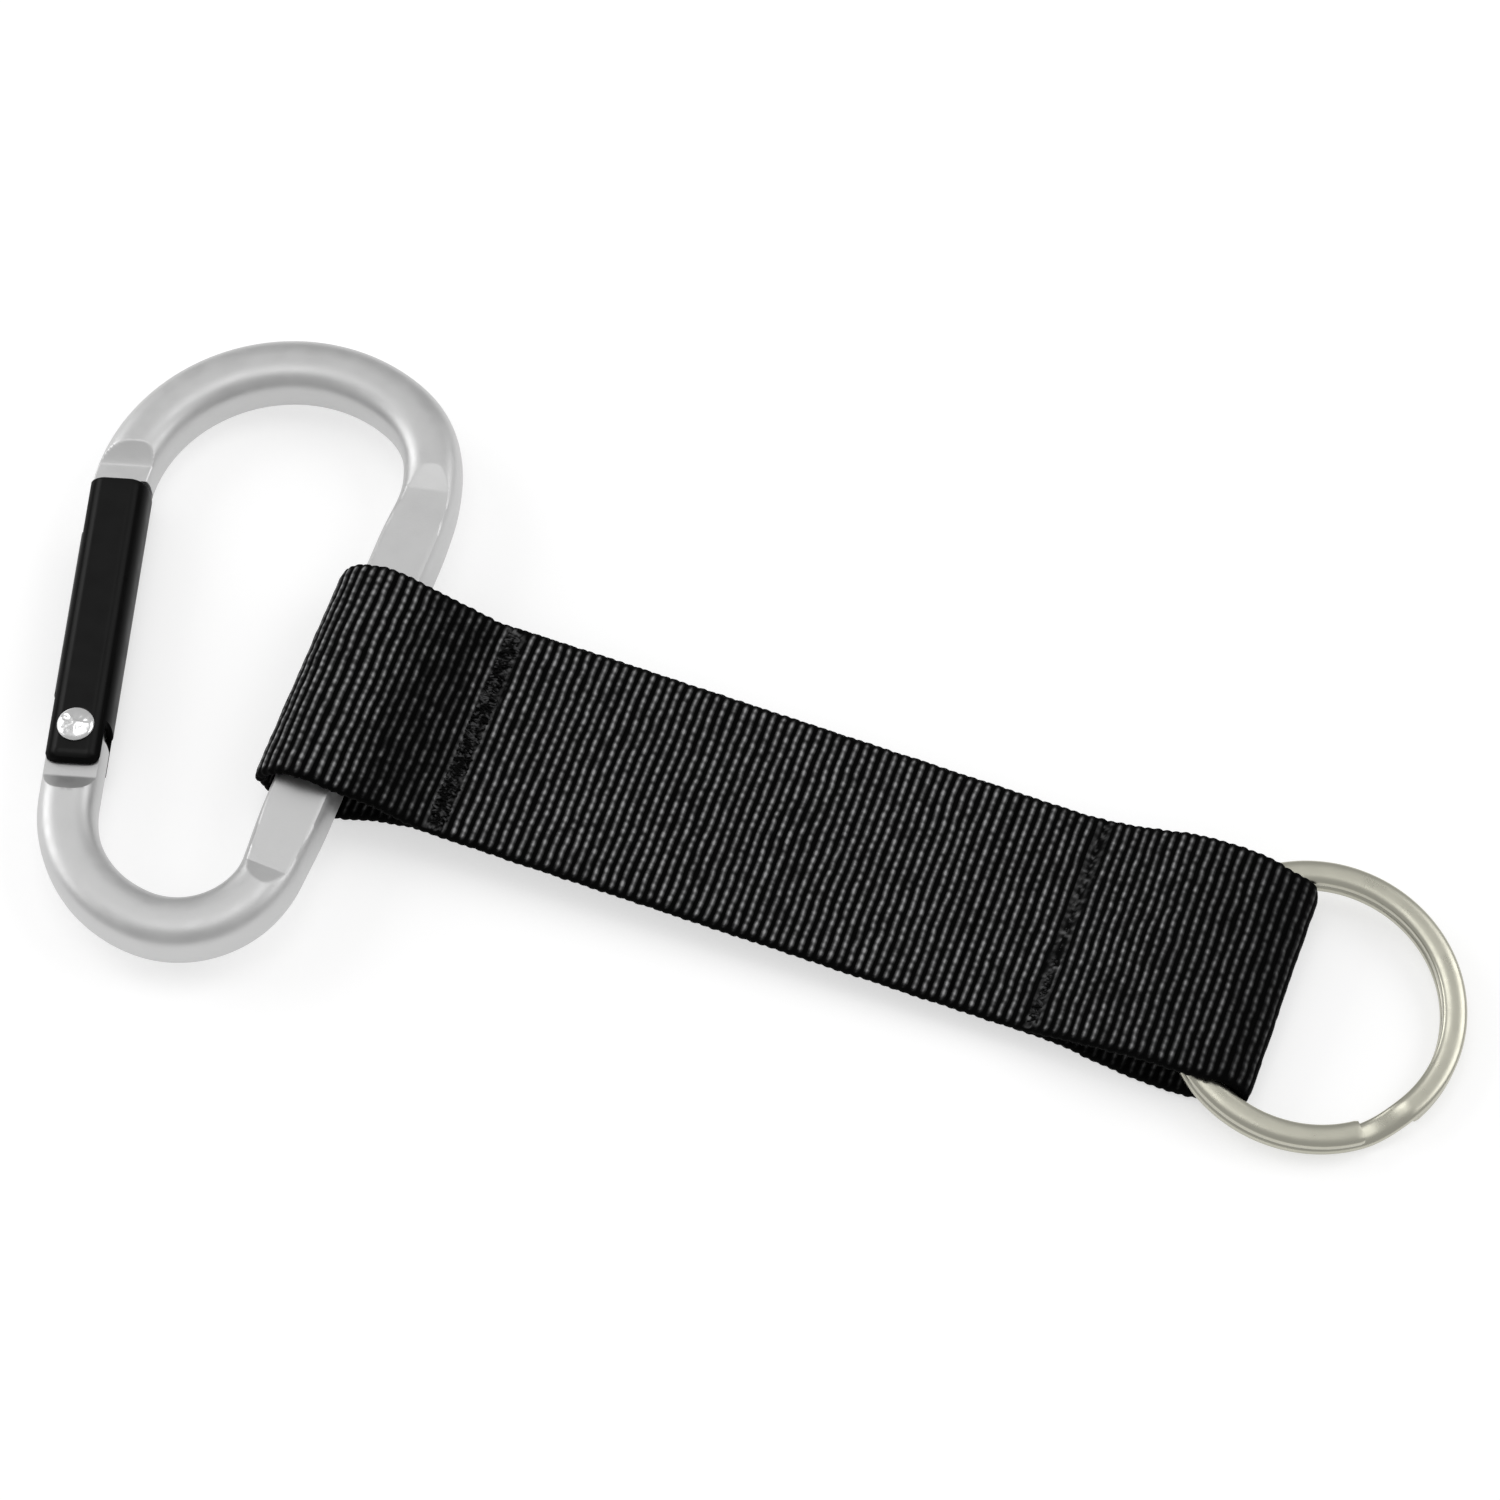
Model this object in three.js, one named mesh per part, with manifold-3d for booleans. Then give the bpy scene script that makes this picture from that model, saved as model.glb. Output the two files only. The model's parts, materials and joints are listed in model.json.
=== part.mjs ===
// Carabiner keyring: a D-shaped snap link, a short sewn webbing strap looped round its
// straight side, and a split ring in the strap's other loop. Millimetres, +Z up, lying flat.
// +X runs along the strap from the link to the ring, +Y runs along the link's straight side.
import * as THREE from 'three';
import { mergeVertices } from 'three/addons/utils/BufferGeometryUtils.js';
import Module from 'manifold-3d';

const wasm = await Module();
wasm.setup();

// ---- Driving dimensions ----
// Snap link body: one rod bent in a plane, its straight side (the spine) along Y at x = 0
const ROD_WIDTH = 6.4;
const ROD_THICKNESS = 6.4;
const ROUNDNESS = 3.2; // exponent of the rounded-square sections
const SPINE_TOP_Y = 11.8;
const SPINE_BOTTOM_Y = -32.95;
const TOP_BENDS = [[17.3, 23], [11.1, 39], [18.2, null]]; // radius, degrees; the last closes the turn
const BOTTOM_BEND = [10.2, 94]; // radius, degrees; the next bend's radius closes the outline
const GATE_LEAN_DEG = 13.8; // angle between the gate and the spine
const PAD_WIDTH = 7.2; // the spine is pressed flat and spreads
const PAD_THICKNESS = 5.5;
const PAD_TOP_Y = 16.0;
const PAD_BOTTOM_Y = -33.5;

// Tongues: both ends of the rod are thinned to fit between the gate's cheeks
const TONGUE_THICKNESS = 4.1;
const RAMP_LENGTH = 2.0;
const NOSE_FLAT = 2.2; // flat seen between the gate's end and the ramp
const HINGE_FLAT = 1.4;
const HEEL_REACH = 3.4; // from the rivet to the tongue's flat heel
const HEEL_CORNER = 1.2;
const NOSE_REACH = 5.6; // the nose tongue's length inside the gate
const HINGE_SHOULDER = -1.0; // the tongue is narrower on its inner side above this station

// Gate, along its own length: 0 at the rivet, rising towards the nose
const GATE_WIDTH = 6.6;
const GATE_THICKNESS = 6.6;
const GATE_SIDE_WALL = 0.7; // left on the inner side, where it stops against the nose tongue
const RIVET_ABOVE_BEND = 7.9;
const GATE_TAIL = 4.2;
const GATE_TOP = 30.8;
const SLOT_CLEARANCE = 0.3;
const HINGE_SLOT_DEPTH = 4.4;
const HINGE_MOUTH = 1.2; // the inner side is open below this station, for the tongue to swing through
const NOSE_SLOT_START = 24.2;
const BORE_RADIUS = 1.7;
const BORE_END = 22.0;
const RIVET_SHANK_RADIUS = 1.25;
const RIVET_HEAD_RADIUS = 2.0;
const RIVET_HEAD_HEIGHT = 0.45;
const PLUNGER_RADIUS = 1.5;
const PLUNGER_LENGTH = 8.0;
const SPRING_RADIUS = 1.25;
const SPRING_WIRE = 0.45;
const SPRING_TURNS = 8;
const FIT_GAP = 0.3;
const PIN_GAP = 0.15;

// Webbing strap
const STRAP_WIDTH = 25;
const STRAP_CENTRE_Y = -9.9;
const WEBBING = 1.3; // thickness of one layer
const LOOP_INNER_RADIUS = 3.95; // clears the flattened spine as it turns
const SPINE_SEAM_X = 14.5;
const SPINE_SEAM_LENGTH = 4.0;
const RING_SEAM_X = 80.6;
const RING_SEAM_LENGTH = 2.0;
const SEAM_WIDTH = 23;
const SEAM_HEIGHT = 0.25;
const BEND_X = 47.0; // where the strap folds
const RING_BEND_X = 84.2;
const BEND_GAP = 1.4; // half of the opening left at each bend line
const PANEL_START_Z = 4.4; // mid-height of the two layers at the spine seam
const PANEL_END_Z = 2.45; // and at the ring seam
const FOLD_X = 105.5;

// Split ring: two turns of flattened wire, leaning with its left and far sides raised by the strap
const RING_OUTER_RADIUS = 16.2;
const WIRE_WIDTH = 2.65;
const COIL_THICKNESS = 1.4;
const COIL_GAP = 0.12;
const RING_CENTRE_X = 108.6;
const RING_CENTRE_Y = STRAP_CENTRE_Y - 0.3;
const RING_LEAN_DEG = 4.9;
const RING_ROLL_DEG = 2.4;
const JOG_START_DEG = -53;
const JOG_END_DEG = -30;

// ---- Worked-out places ----
const LOOP_OUTER_RADIUS = LOOP_INNER_RADIUS + WEBBING;
const SPINE_Z = LOOP_OUTER_RADIUS; // the strap's loop holds the spine off the table
const lean = THREE.MathUtils.degToRad(GATE_LEAN_DEG);
const gateNormal = new THREE.Vector2(Math.cos(lean), Math.sin(lean));
const unit = (angle) => new THREE.Vector2(Math.cos(angle), Math.sin(angle));
const rad = (degrees) => THREE.MathUtils.degToRad(degrees);

// ---- Materials ----
const metal = (color, roughness) => new THREE.MeshStandardMaterial({ color, roughness, metalness: 1 });
const cloth = () => new THREE.MeshStandardMaterial({ color: 0x121212, roughness: 0.85, metalness: 0 });
const ALUMINIUM = 0xc8c8c6;
const NICKEL = 0xb9b8a5;
const BLACK_ANODISED = 0x1e1e1e;

// ---- Solids: booleans on closed meshes ----
function toSolid(geometry) {
  const bare = geometry.clone();
  bare.deleteAttribute('normal');
  bare.deleteAttribute('uv');
  const merged = mergeVertices(bare, 1e-4);
  return new wasm.Manifold(new wasm.Mesh({
    numProp: 3,
    vertProperties: Float32Array.from(merged.attributes.position.array),
    triVerts: Uint32Array.from(merged.index.array),
  }));
}

function toGeometry(solid) {
  const mesh = solid.getMesh();
  const geometry = new THREE.BufferGeometry();
  geometry.setAttribute('position', new THREE.BufferAttribute(mesh.vertProperties, 3));
  geometry.setIndex(new THREE.BufferAttribute(mesh.triVerts, 1));
  geometry.computeVertexNormals();
  return geometry;
}

function cut(geometry, cutters) {
  return toGeometry(cutters.reduce((solid, cutter) => solid.subtract(toSolid(cutter)), toSolid(geometry)));
}

function named(name, geometry, material) {
  const mesh = new THREE.Mesh(geometry, material);
  mesh.name = name;
  return mesh;
}

// ---- Curves ----
// A flat route of straights and left-hand arcs, walked from a start point and heading.
// Its frames keep one side of a swept section level, so the sections never twist.
class FlatRoute extends THREE.Curve {
  constructor(start, heading, legs) {
    super();
    this.start = start;
    this.heading = heading;
    this.legs = legs.map((leg) => ({ ...leg, length: leg.length ?? leg.radius * leg.turn }));
    this.total = this.legs.reduce((sum, leg) => sum + leg.length, 0);
  }

  walk(t) {
    const place = this.start.clone();
    let heading = this.heading;
    let left = t * this.total;
    for (const leg of this.legs) {
      const run = Math.min(left, leg.length);
      if (leg.radius) {
        const turned = heading + run / leg.radius;
        place.x += leg.radius * (Math.sin(turned) - Math.sin(heading));
        place.y -= leg.radius * (Math.cos(turned) - Math.cos(heading));
        heading = turned;
      } else {
        place.addScaledVector(unit(heading), run);
      }
      left -= run;
      if (left <= 0) break;
    }
    return { place, heading };
  }

  getPoint(t) {
    const { place } = this.walk(t);
    return new THREE.Vector3(place.x, place.y, 0);
  }

  getTangent(t) {
    const direction = unit(this.walk(t).heading);
    return new THREE.Vector3(direction.x, direction.y, 0);
  }

  computeFrenetFrames(steps) {
    return levelFrames(this, steps);
  }
}

// The ring's wire: round at the lower level, up across the jog, and round again above.
class RingWire extends THREE.Curve {
  constructor(radius, rise) {
    super();
    this.radius = radius;
    this.rise = rise;
    this.from = rad(JOG_END_DEG);
    this.jogFrom = rad(JOG_START_DEG + 360);
    this.jogTo = rad(JOG_END_DEG + 360);
    this.to = rad(JOG_START_DEG + 720);
  }

  getPoint(t) {
    const angle = THREE.MathUtils.lerp(this.from, this.to, t);
    const lift = THREE.MathUtils.smoothstep(angle, this.jogFrom, this.jogTo) - 0.5;
    return new THREE.Vector3(this.radius * Math.cos(angle), this.radius * Math.sin(angle), this.rise * lift);
  }

  computeFrenetFrames(steps) {
    return levelFrames(this, steps);
  }
}

function levelFrames(curve, steps) {
  const frames = { tangents: [], normals: [], binormals: [] };
  for (let i = 0; i <= steps; i++) {
    const tangent = curve.getTangentAt(i / steps);
    const side = new THREE.Vector3(-tangent.y, tangent.x, 0).normalize();
    frames.tangents.push(tangent);
    frames.normals.push(side);
    frames.binormals.push(new THREE.Vector3().crossVectors(tangent, side));
  }
  return frames;
}

class CoilCurve extends THREE.Curve {
  constructor(radius, length, turns) {
    super();
    Object.assign(this, { radius, length, turns });
  }

  getPoint(t) {
    const angle = 2 * Math.PI * this.turns * t;
    return new THREE.Vector3(this.radius * Math.cos(angle), this.length * t, this.radius * Math.sin(angle));
  }
}

// ---- Sections and simple forms ----
function roundedSquare(width, thickness, corners = 20) {
  const power = 2 / ROUNDNESS;
  const rounded = (value) => Math.sign(value) * Math.abs(value) ** power;
  return new THREE.Shape(Array.from({ length: corners }, (_, i) => {
    const angle = (2 * Math.PI * (i + 0.5)) / corners;
    return new THREE.Vector2(0.5 * width * rounded(Math.cos(angle)), 0.5 * thickness * rounded(Math.sin(angle)));
  }));
}

function chamferedRectangle(width, height, chamfer) {
  const [x, y] = [width / 2, height / 2];
  const quarter = [[x, y - chamfer], [x - chamfer, y]];
  const mirrored = quarter.map(([a, b]) => [-a, b]).reverse();
  const upper = [...quarter, ...mirrored];
  const lower = upper.map(([a, b]) => [-a, -b]);
  return new THREE.Shape([...upper, ...lower].map(([a, b]) => new THREE.Vector2(a, b)));
}

function sweep(section, curve, steps) {
  return new THREE.ExtrudeGeometry(section, { extrudePath: curve, steps });
}

function box(lowX, highX, lowY, highY, lowZ, highZ) {
  const geometry = new THREE.BoxGeometry(highX - lowX, highY - lowY, highZ - lowZ);
  return geometry.translate((lowX + highX) / 2, (lowY + highY) / 2, (lowZ + highZ) / 2);
}

// A cylinder standing on Z
function post(radius, lowZ, highZ, x = 0, y = 0, sides = 24) {
  const geometry = new THREE.CylinderGeometry(radius, radius, highZ - lowZ, sides);
  return geometry.rotateX(Math.PI / 2).translate(x, y, (lowZ + highZ) / 2);
}

// An outline in the X-Z plane, carried across the strap's width along Y
function acrossStrap(shape, width = STRAP_WIDTH) {
  const geometry = new THREE.ExtrudeGeometry(shape, { depth: width, bevelEnabled: false, curveSegments: 14 });
  return geometry.rotateX(Math.PI / 2).translate(0, STRAP_CENTRE_Y + width / 2, 0);
}

// ---- Snap link body ----
const [[topRadius1, topTurn1], [topRadius2, topTurn2], [topRadius3]] = TOP_BENDS;
const topTurns = [rad(topTurn1), rad(topTurn2), Math.PI + lean - rad(topTurn1 + topTurn2)];
const [bottomRadius, bottomTurn] = [BOTTOM_BEND[0], rad(BOTTOM_BEND[1])];

function topBendEnd() {
  const end = new THREE.Vector2(-topRadius1, SPINE_TOP_Y);
  end.addScaledVector(unit(topTurns[0]), topRadius1 - topRadius2);
  end.addScaledVector(unit(topTurns[0] + topTurns[1]), topRadius2 - topRadius3);
  return end.addScaledVector(gateNormal, -topRadius3);
}

// The second bottom bend's radius puts its end on the gate's line
function closingRadius() {
  const centre = new THREE.Vector2(-bottomRadius, SPINE_BOTTOM_Y);
  const outward = unit(-bottomTurn);
  const reach = centre.dot(gateNormal) + bottomRadius * outward.dot(gateNormal);
  return (reach - topBendEnd().dot(gateNormal)) / (1 + outward.dot(gateNormal));
}

function bottomBendEnd() {
  const radius = closingRadius();
  const end = new THREE.Vector2(-bottomRadius, SPINE_BOTTOM_Y);
  end.addScaledVector(unit(-bottomTurn), bottomRadius - radius);
  return end.addScaledVector(gateNormal, -radius);
}

const gateUp = new THREE.Vector2(-Math.sin(lean), Math.cos(lean));
const rivet = bottomBendEnd().addScaledVector(gateUp, RIVET_ABOVE_BEND);
const alongGate = (station) => rivet.clone().addScaledVector(gateUp, station);

// Moves a form made about the rivet, with the gate's length along Y, into the link's plane
const atGate = (geometry) => geometry.rotateZ(lean).translate(rivet.x, rivet.y, 0);

function rodRoute() {
  const noseEnd = GATE_TOP - NOSE_REACH;
  const toBend = RIVET_ABOVE_BEND + HEEL_REACH;
  const fromBend = topBendEnd().distanceTo(alongGate(noseEnd));
  const legs = [
    { length: toBend },
    { radius: closingRadius(), turn: Math.PI - lean - bottomTurn },
    { radius: bottomRadius, turn: bottomTurn },
    { length: SPINE_TOP_Y - SPINE_BOTTOM_Y },
    { radius: topRadius1, turn: topTurns[0] },
    { radius: topRadius2, turn: topTurns[1] },
    { radius: topRadius3, turn: topTurns[2] },
    { length: fromBend },
  ];
  return new FlatRoute(alongGate(HEEL_REACH), lean - Math.PI / 2, legs);
}

// Removes what lies above the tongue's face, and ends in a hollow ramp up to the full rod
function tongueCutter(from, foot, direction, side) {
  const low = TONGUE_THICKNESS / 2;
  const high = ROD_THICKNESS / 2 + 1;
  const top = foot + direction * RAMP_LENGTH;
  const shape = new THREE.Shape();
  shape.moveTo(from, low);
  shape.lineTo(foot, low);
  shape.quadraticCurveTo(foot + direction * RAMP_LENGTH * 0.7, low, top, ROD_THICKNESS / 2);
  shape.lineTo(top, high);
  shape.lineTo(from, high);
  const geometry = new THREE.ExtrudeGeometry(shape, { depth: 16, bevelEnabled: false, curveSegments: 4 });
  geometry.translate(0, 0, -8).rotateY(Math.PI / 2).rotateX(Math.PI / 2);
  if (side < 0) geometry.rotateY(Math.PI);
  return atGate(geometry);
}

// Removes what lies above the pressed pad on the spine
function padCutter(side) {
  const low = PAD_THICKNESS / 2;
  const high = ROD_THICKNESS / 2 + 1;
  const ramp = 1.8;
  const outline = [[PAD_BOTTOM_Y, low], [PAD_TOP_Y, low], [PAD_TOP_Y + ramp, high], [PAD_BOTTOM_Y - ramp, high]];
  const shape = new THREE.Shape(outline.map(([y, z]) => new THREE.Vector2(y, z)));
  const geometry = new THREE.ExtrudeGeometry(shape, { depth: 7.6, bevelEnabled: false });
  geometry.translate(0, 0, -3.8).rotateY(Math.PI / 2).rotateX(Math.PI / 2);
  return side < 0 ? geometry.rotateY(Math.PI) : geometry;
}

// Narrows both tongues on their inner side, to clear the gate's side wall
function shoulderCutters() {
  const face = GATE_WIDTH / 2 - GATE_SIDE_WALL - FIT_GAP;
  const nose = box(face, 5, GATE_TOP - NOSE_REACH - 1, GATE_TOP + FIT_GAP, -4, 4);
  const hinge = box(face, 5, HINGE_SHOULDER, HEEL_REACH + 1, -4, 4);
  return [atGate(nose), atGate(hinge)];
}

function heelCorner(side) {
  const x = ROD_WIDTH / 2 - HEEL_CORNER;
  const y = HEEL_REACH - HEEL_CORNER;
  const block = toSolid(box(x, x + 3, y, y + 3, -4, 4)).subtract(toSolid(post(HEEL_CORNER, -5, 5, x, y)));
  const geometry = toGeometry(block);
  if (side < 0) geometry.rotateY(Math.PI);
  return atGate(geometry);
}

function linkBody() {
  const rod = toSolid(sweep(roundedSquare(ROD_WIDTH, ROD_THICKNESS), rodRoute(), 84));
  const padLength = PAD_TOP_Y - PAD_BOTTOM_Y - 4;
  const pad = new THREE.ExtrudeGeometry(roundedSquare(PAD_WIDTH, PAD_THICKNESS), {
    depth: padLength, bevelEnabled: false,
  });
  pad.rotateX(-Math.PI / 2).translate(0, PAD_BOTTOM_Y + 2, 0);
  const cutters = [padCutter(1), padCutter(-1), ...shoulderCutters(), heelCorner(1), heelCorner(-1)];
  for (const side of [1, -1]) {
    cutters.push(tongueCutter(GATE_TOP - NOSE_REACH - 1, GATE_TOP + NOSE_FLAT, 1, side));
    cutters.push(tongueCutter(HEEL_REACH + 1, -GATE_TAIL - HINGE_FLAT, -1, side));
  }
  cutters.push(atGate(post(RIVET_SHANK_RADIUS + PIN_GAP, -4, 4)));
  return named('carabiner_body', cut(toGeometry(rod.add(toSolid(pad))), cutters), metal(ALUMINIUM, 0.45));
}

// ---- Gate, drawn about the rivet with its length along Y ----
function gateTube() {
  const tube = new THREE.ExtrudeGeometry(roundedSquare(GATE_WIDTH, GATE_THICKNESS), {
    depth: GATE_TAIL + GATE_TOP, bevelEnabled: false,
  });
  tube.rotateX(-Math.PI / 2).translate(0, -GATE_TAIL, 0);
  const slot = TONGUE_THICKNESS / 2 + SLOT_CLEARANCE;
  const bore = new THREE.CylinderGeometry(BORE_RADIUS, BORE_RADIUS, BORE_END - HINGE_SLOT_DEPTH + 1, 20);
  bore.translate(0, (BORE_END + HINGE_SLOT_DEPTH - 1) / 2, 0);
  const wall = GATE_WIDTH / 2 - GATE_SIDE_WALL;
  return named('gate_tube', atGate(cut(tube, [
    box(-5, wall, -GATE_TAIL - 1, HINGE_SLOT_DEPTH, -slot, slot),
    box(-5, 5, -GATE_TAIL - 1, HINGE_MOUTH, -slot, slot),
    box(-5, wall, NOSE_SLOT_START, GATE_TOP + 1, -slot, slot),
    bore,
    post(RIVET_SHANK_RADIUS + PIN_GAP, -5, 5),
  ])), metal(BLACK_ANODISED, 0.4));
}

function hingeRivet() {
  const face = GATE_THICKNESS / 2 + 0.1;
  const profile = [[0, -face - RIVET_HEAD_HEIGHT], [RIVET_HEAD_RADIUS * 0.6, -face - RIVET_HEAD_HEIGHT * 0.85],
    [RIVET_HEAD_RADIUS, -face - 0.12], [RIVET_HEAD_RADIUS, -face], [RIVET_SHANK_RADIUS, -face]];
  const mirrored = profile.map(([r, z]) => [r, -z]).reverse();
  const outline = [...profile, ...mirrored].map(([r, z]) => new THREE.Vector2(r, z));
  const lathe = new THREE.LatheGeometry(outline, 24).rotateX(Math.PI / 2);
  return named('hinge_rivet', atGate(lathe), metal(NICKEL, 0.3));
}

const PLUNGER_START = HEEL_REACH + FIT_GAP;
const SPRING_START = PLUNGER_START + PLUNGER_LENGTH + FIT_GAP;

function springPlunger() {
  const end = PLUNGER_START + PLUNGER_LENGTH;
  const outline = [[0, PLUNGER_START], [PLUNGER_RADIUS - 0.4, PLUNGER_START],
    [PLUNGER_RADIUS, PLUNGER_START + 0.4], [PLUNGER_RADIUS, end], [0, end]];
  const lathe = new THREE.LatheGeometry(outline.map(([r, y]) => new THREE.Vector2(r, y)), 18);
  return named('spring_plunger', atGate(lathe), metal(NICKEL, 0.35));
}

function gateSpring() {
  const section = new THREE.Shape(Array.from({ length: 6 }, (_, i) => unit((i * Math.PI) / 3)
    .multiplyScalar(SPRING_WIRE / 2)));
  const start = SPRING_START + SPRING_WIRE / 2;
  const length = BORE_END - FIT_GAP - SPRING_WIRE / 2 - start;
  const coil = sweep(section, new CoilCurve(SPRING_RADIUS, length, SPRING_TURNS), SPRING_TURNS * 12);
  return named('gate_spring', atGate(coil.translate(0, start, 0)), metal(NICKEL, 0.35));
}

// ---- Webbing strap ----
// The point where a line from a place outside a circle touches it
function touchPoint(radius, from, side) {
  const centre = new THREE.Vector2(0, SPINE_Z);
  const toward = from.clone().sub(centre);
  const spread = Math.acos(radius / toward.length());
  return centre.add(unit(toward.angle() + side * spread).multiplyScalar(radius));
}

const panelZ = (x) => THREE.MathUtils.mapLinear(x, SPINE_SEAM_X, RING_SEAM_X, PANEL_START_Z, PANEL_END_Z);

// A teardrop about the spine, drawn as a closed round-ended outline
function teardrop(path, radius, upper, lower) {
  const top = touchPoint(radius, upper, 1);
  const bottom = touchPoint(radius, lower, -1);
  const startAngle = Math.atan2(top.y - SPINE_Z, top.x);
  const endAngle = Math.atan2(bottom.y - SPINE_Z, bottom.x);
  path.lineTo(top.x, top.y);
  path.absarc(0, SPINE_Z, radius, startAngle, endAngle + 2 * Math.PI, false);
  path.lineTo(lower.x, lower.y);
}

function spineLoop() {
  const from = SPINE_SEAM_X - SPINE_SEAM_LENGTH / 2;
  const to = BEND_X - BEND_GAP;
  const upper = new THREE.Vector2(from, panelZ(from) + WEBBING);
  const lower = new THREE.Vector2(from, panelZ(from) - WEBBING);
  const shape = new THREE.Shape();
  shape.moveTo(to, panelZ(to) + WEBBING);
  shape.lineTo(upper.x, upper.y);
  teardrop(shape, LOOP_OUTER_RADIUS, upper, lower);
  shape.lineTo(to, panelZ(to) - WEBBING);
  const meet = new THREE.Vector2(from - 0.8, panelZ(from));
  const inside = new THREE.Path();
  inside.moveTo(meet.x, meet.y);
  teardrop(inside, LOOP_INNER_RADIUS, meet, meet);
  shape.holes.push(inside);
  return named('webbing_spine_loop', acrossStrap(shape), cloth());
}

function farPanel() {
  const [from, to] = [BEND_X + BEND_GAP, RING_BEND_X - BEND_GAP];
  const corners = [[from, 1], [to, 1], [to, -1], [from, -1]];
  const shape = new THREE.Shape(corners.map(([x, side]) => new THREE.Vector2(x, panelZ(x) + side * WEBBING)));
  return named('webbing_far_panel', acrossStrap(shape), cloth());
}

// The loop round the ring: its upper layer climbs over the wire, its lower one lies on the table
function ringLoop() {
  const from = RING_BEND_X + BEND_GAP;
  const middle = panelZ(from);
  const crest = 6.2; // underside of the upper layer where it crosses the wire
  const foldTop = 5.6;
  const corner = 1.5;
  const outer = new THREE.Shape();
  outer.moveTo(from, middle - WEBBING);
  outer.lineTo(from, middle + WEBBING);
  outer.lineTo(from + 4.6, crest + WEBBING);
  outer.lineTo(from + 7.0, crest + WEBBING);
  outer.lineTo(FOLD_X - 3.0, foldTop + WEBBING);
  outer.quadraticCurveTo(FOLD_X, foldTop + WEBBING, FOLD_X, foldTop - corner);
  outer.lineTo(FOLD_X, 2.6);
  outer.quadraticCurveTo(FOLD_X, 0, FOLD_X - 2.8, 0);
  outer.lineTo(from + 9.0, 0);
  const side = FOLD_X - WEBBING;
  const inside = new THREE.Path();
  inside.moveTo(from + 1.6, middle);
  inside.lineTo(from + 8.0, WEBBING);
  inside.lineTo(side - corner, WEBBING);
  inside.quadraticCurveTo(side, WEBBING, side, WEBBING + corner);
  inside.lineTo(side, foldTop - corner * 0.6);
  inside.quadraticCurveTo(side, foldTop, side - corner * 0.8, foldTop);
  inside.lineTo(from + 6.6, crest);
  inside.lineTo(from + 5.0, crest);
  outer.holes.push(inside);
  return named('webbing_ring_loop', acrossStrap(outer), cloth());
}

// A row of stitches seen as a thin raised band on one face of the strap
function seamBand(name, centre, length, side) {
  const [from, to] = [centre - length / 2, centre + length / 2];
  const low = WEBBING + 0.05;
  const high = low + SEAM_HEIGHT;
  const corners = [[from, low], [to, low], [to, high], [from, high]];
  const points = corners.map(([x, rise]) => new THREE.Vector2(x, panelZ(x) + side * rise));
  return named(name, acrossStrap(new THREE.Shape(points), SEAM_WIDTH), cloth());
}

// ---- Split ring ----
function splitRing() {
  const wire = new RingWire(RING_OUTER_RADIUS - WIRE_WIDTH / 2, COIL_THICKNESS + COIL_GAP);
  const geometry = sweep(chamferedRectangle(WIRE_WIDTH, COIL_THICKNESS, 0.4), wire, 110);
  const ring = named('split_ring', geometry, metal(NICKEL, 0.25));
  ring.rotation.set(rad(RING_ROLL_DEG), rad(RING_LEAN_DEG), 0);
  const axis = new THREE.Vector3(0, 0, 1).applyEuler(ring.rotation);
  const halfStack = COIL_THICKNESS + COIL_GAP / 2;
  const height = RING_OUTER_RADIUS * Math.hypot(axis.x, axis.y) + halfStack * axis.z;
  ring.position.set(RING_CENTRE_X, RING_CENTRE_Y, height);
  return ring;
}

// ---- Assembly ----
// The link turns in the strap's loop until its rivet rests on the table
function snapLink() {
  const link = new THREE.Group();
  link.add(linkBody(), gateTube(), hingeRivet(), springPlunger(), gateSpring());
  const rivetReach = GATE_THICKNESS / 2 + 0.1 + RIVET_HEAD_HEIGHT;
  link.rotation.y = -Math.asin((SPINE_Z - rivetReach) / Math.abs(rivet.x));
  link.position.z = SPINE_Z;
  return link;
}

function strap() {
  const group = new THREE.Group();
  group.add(spineLoop(), farPanel(), ringLoop());
  group.add(seamBand('spine_seam_front', SPINE_SEAM_X, SPINE_SEAM_LENGTH, 1));
  group.add(seamBand('spine_seam_back', SPINE_SEAM_X, SPINE_SEAM_LENGTH, -1));
  group.add(seamBand('ring_seam_front', RING_SEAM_X, RING_SEAM_LENGTH, 1));
  group.add(seamBand('ring_seam_back', RING_SEAM_X, RING_SEAM_LENGTH, -1));
  return group;
}

const keyring = new THREE.Group();
keyring.add(snapLink(), strap(), splitRing());

// The origin is the middle of the whole object's footprint, on the table
const extent = new THREE.Box3().setFromObject(keyring, true);
const middle = extent.getCenter(new THREE.Vector3());
keyring.position.set(-middle.x, -middle.y, -extent.min.z);
keyring.updateMatrixWorld(true);

export default keyring;
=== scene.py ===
# Carabiner keyring: the visual model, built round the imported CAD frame.
# Shapes are drawn in millimetres in three local frames (link, gate and strap) that come from
# the frame's joints, and are moved to the row frame in metres.
import json
import math

import bmesh
import bpy
import numpy as np
from mathutils import Matrix, Vector


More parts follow.
